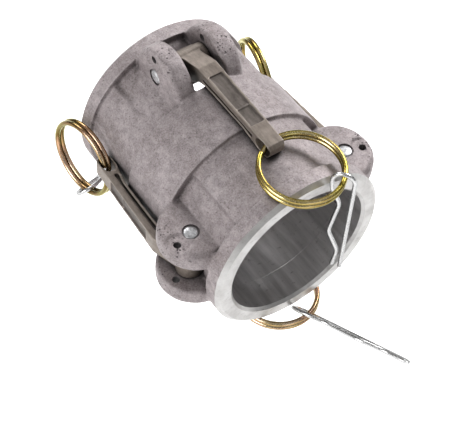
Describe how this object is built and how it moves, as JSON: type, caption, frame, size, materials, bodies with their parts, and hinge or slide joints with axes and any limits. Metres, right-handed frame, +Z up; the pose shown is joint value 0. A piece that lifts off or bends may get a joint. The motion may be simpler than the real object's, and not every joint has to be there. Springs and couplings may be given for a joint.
{
  "type": "camlock coupling",
  "caption": "Double-female camlock coupling: cast aluminium body with a gasketed socket at each end, locked by pivoting cam arms with pull rings and safety clips.",
  "frame": {"origin": "middle of the body's length, on the axis of the through-bore", "axes": "+X along the bore, out of the front mouth; +Z up through the top arm's station; +Y through the right arm's station"},
  "size_m": [0.1698, 0.101, 0.0996],
  "materials": {
    "cast_aluminium": "matte sand-cast skin with turned end faces and sockets",
    "gasket_rubber": "matte black nitrile",
    "arm_steel": "satin cast stainless steel",
    "pin_steel": "bright, hammered over at the ends",
    "ring_zinc": "yellow chromated zinc plate with a green and pink cast, over steel",
    "clip_steel": "bright zinc plate over spring steel"
  },
  "bodies": {
    "body": {"coupling_body": "cast_aluminium", "front_gasket": "gasket_rubber", "rear_gasket": "gasket_rubber", "top_pivot_pin": "pin_steel", "bottom_pivot_pin": "pin_steel", "left_pivot_pin": "pin_steel", "right_pivot_pin": "pin_steel"},
    "top_arm": {"top_cam_arm": "arm_steel"},
    "bottom_arm": {"bottom_cam_arm": "arm_steel"},
    "left_arm": {"left_cam_arm": "arm_steel"},
    "right_arm": {"right_cam_arm": "arm_steel"},
    "top_ring": {"top_pull_ring": "ring_zinc"},
    "bottom_ring": {"bottom_pull_ring": "ring_zinc"},
    "left_ring": {"left_pull_ring": "ring_zinc"},
    "right_ring": {"right_pull_ring": "ring_zinc"},
    "top_clip": {"top_safety_clip": "clip_steel"},
    "bottom_clip": {"bottom_safety_clip": "clip_steel"},
    "left_clip": {"left_safety_clip": "clip_steel"},
    "right_clip": {"right_safety_clip": "clip_steel"}
  },
  "joints": [
    {"name": "top_arm_hinge", "type": "hinge", "parent": "body", "child": "top_arm", "pos_m": [-0.0291, 0, 0.0377], "axis": [0, -1, 0], "range_deg": [0, 105]},
    {"name": "bottom_arm_hinge", "type": "hinge", "parent": "body", "child": "bottom_arm", "pos_m": [-0.0291, 0, -0.0377], "axis": [0, 1, 0], "range_deg": [0, 105]},
    {"name": "left_arm_hinge", "type": "hinge", "parent": "body", "child": "left_arm", "pos_m": [0.0291, -0.0377, 0], "axis": [0, 0, 1], "range_deg": [0, 105]},
    {"name": "right_arm_hinge", "type": "hinge", "parent": "body", "child": "right_arm", "pos_m": [0.0291, 0.0377, 0], "axis": [0, 0, -1], "range_deg": [0, 105]},
    {"name": "top_ring_swing", "type": "hinge", "parent": "top_arm", "child": "top_ring", "pos_m": [0.0259, 0, 0.0413], "axis": [0.1906, -0.9816, -0.0087], "range_deg": [0, 90]},
    {"name": "bottom_ring_swing", "type": "hinge", "parent": "bottom_arm", "child": "bottom_ring", "pos_m": [0.0259, 0, -0.0413], "axis": [0, 1, 0], "range_deg": [0, 90]},
    {"name": "left_ring_swing", "type": "hinge", "parent": "left_arm", "child": "left_ring", "pos_m": [-0.0259, -0.0413, 0], "axis": [-0.3822, 0.0277, 0.9237], "range_deg": [0, 90]},
    {"name": "right_ring_swing", "type": "hinge", "parent": "right_arm", "child": "right_ring", "pos_m": [-0.0259, 0.0413, 0], "axis": [0.3795, -0.0227, -0.9249], "range_deg": [0, 90]},
    {"name": "top_clip_swing", "type": "hinge", "parent": "top_ring", "child": "top_clip", "pos_m": [0.05544, 0.01264, 0.03996], "axis": [0.6349, -0.7726, -0.0011], "range_deg": [0, 60]},
    {"name": "bottom_clip_swing", "type": "hinge", "parent": "bottom_ring", "child": "bottom_clip", "pos_m": [0.05819, 0.00429, -0.03961], "axis": [-0.373, 0.6856, 0.6251], "range_deg": [-30, 60]},
    {"name": "left_clip_swing", "type": "hinge", "parent": "left_ring", "child": "left_clip", "pos_m": [-0.03747, -0.04456, -0.02221], "axis": [-0.7357, -0.0655, 0.6741], "range_deg": [0, 60]},
    {"name": "right_clip_swing", "type": "hinge", "parent": "right_ring", "child": "right_clip", "pos_m": [-0.04124, 0.0462, -0.02256], "axis": [-0.6399, 0.5182, -0.5675], "range_deg": [0, 60]}
  ]
}
